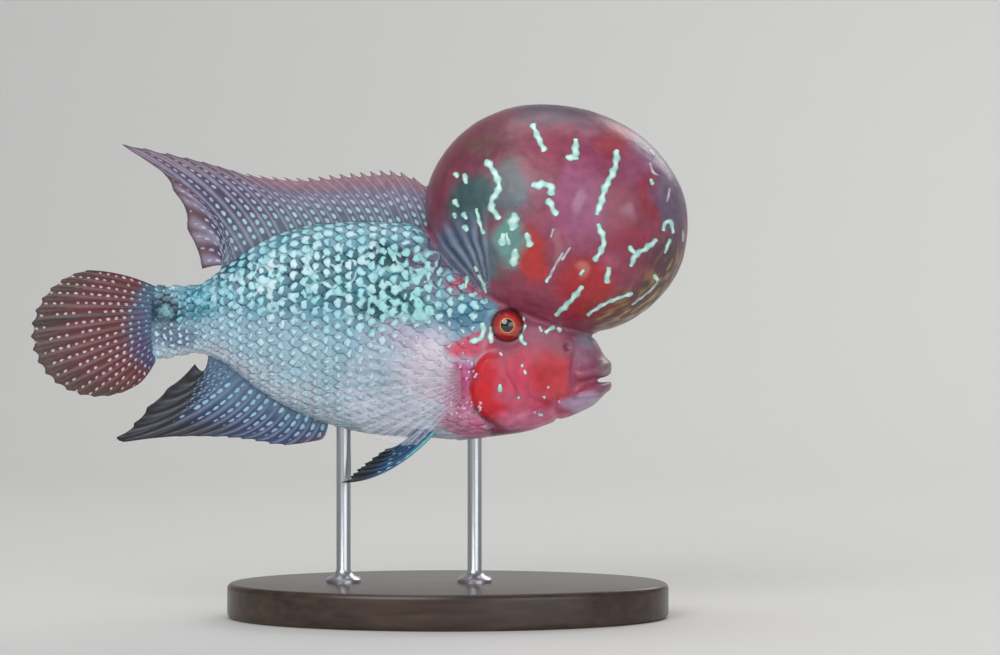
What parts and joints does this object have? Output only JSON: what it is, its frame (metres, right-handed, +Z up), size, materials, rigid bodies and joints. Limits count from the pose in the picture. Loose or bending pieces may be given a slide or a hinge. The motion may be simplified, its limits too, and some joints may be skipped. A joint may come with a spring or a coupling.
{
  "type": "flowerhorn cichlid model on a display stand",
  "caption": "Life-size still model of a short-bodied cichlid fish with a large round nuchal hump, held level by two short rods on a flat oval base.",
  "frame": {"origin": "middle of the underside of the stand's base", "axes": "+X towards the fish's head, +Y towards its left side, +Z up"},
  "size_m": [0.1135, 0.048, 0.0886],
  "materials": {
    "flank": "wet scaled skin, pearl spots on blue grey",
    "hump": "smooth wet skin, mottled dark red",
    "cheek": "smooth wet skin, bright red",
    "lips": "smooth wet skin, pale mauve",
    "fin": "thin wet membrane with raised rays",
    "tail_fin": "thin wet membrane with raised rays, dark red",
    "breast_fin": "thin clear membrane with fine rays",
    "eye": "clear gloss over a red iris and a black pupil",
    "wood": "dark satin lacquer",
    "steel": "fine brushed"
  },
  "bodies": {
    "root": {"trunk": "flank", "tail_stalk": "flank", "head": "cheek", "nuchal_hump": "hump", "upper_jaw": "lips", "lower_jaw": "lips", "gill_cover_left": "cheek", "gill_cover_right": "cheek", "eye_left": "eye", "eye_right": "eye", "dorsal_fin": "fin", "anal_fin": "fin", "caudal_fin": "tail_fin", "pectoral_fin_left": "breast_fin", "pectoral_fin_right": "breast_fin", "pelvic_fin_left": "fin", "pelvic_fin_right": "fin", "stand_base": "wood", "stand_rod_1": "steel", "stand_rod_2": "steel"}
  },
  "joints": []
}
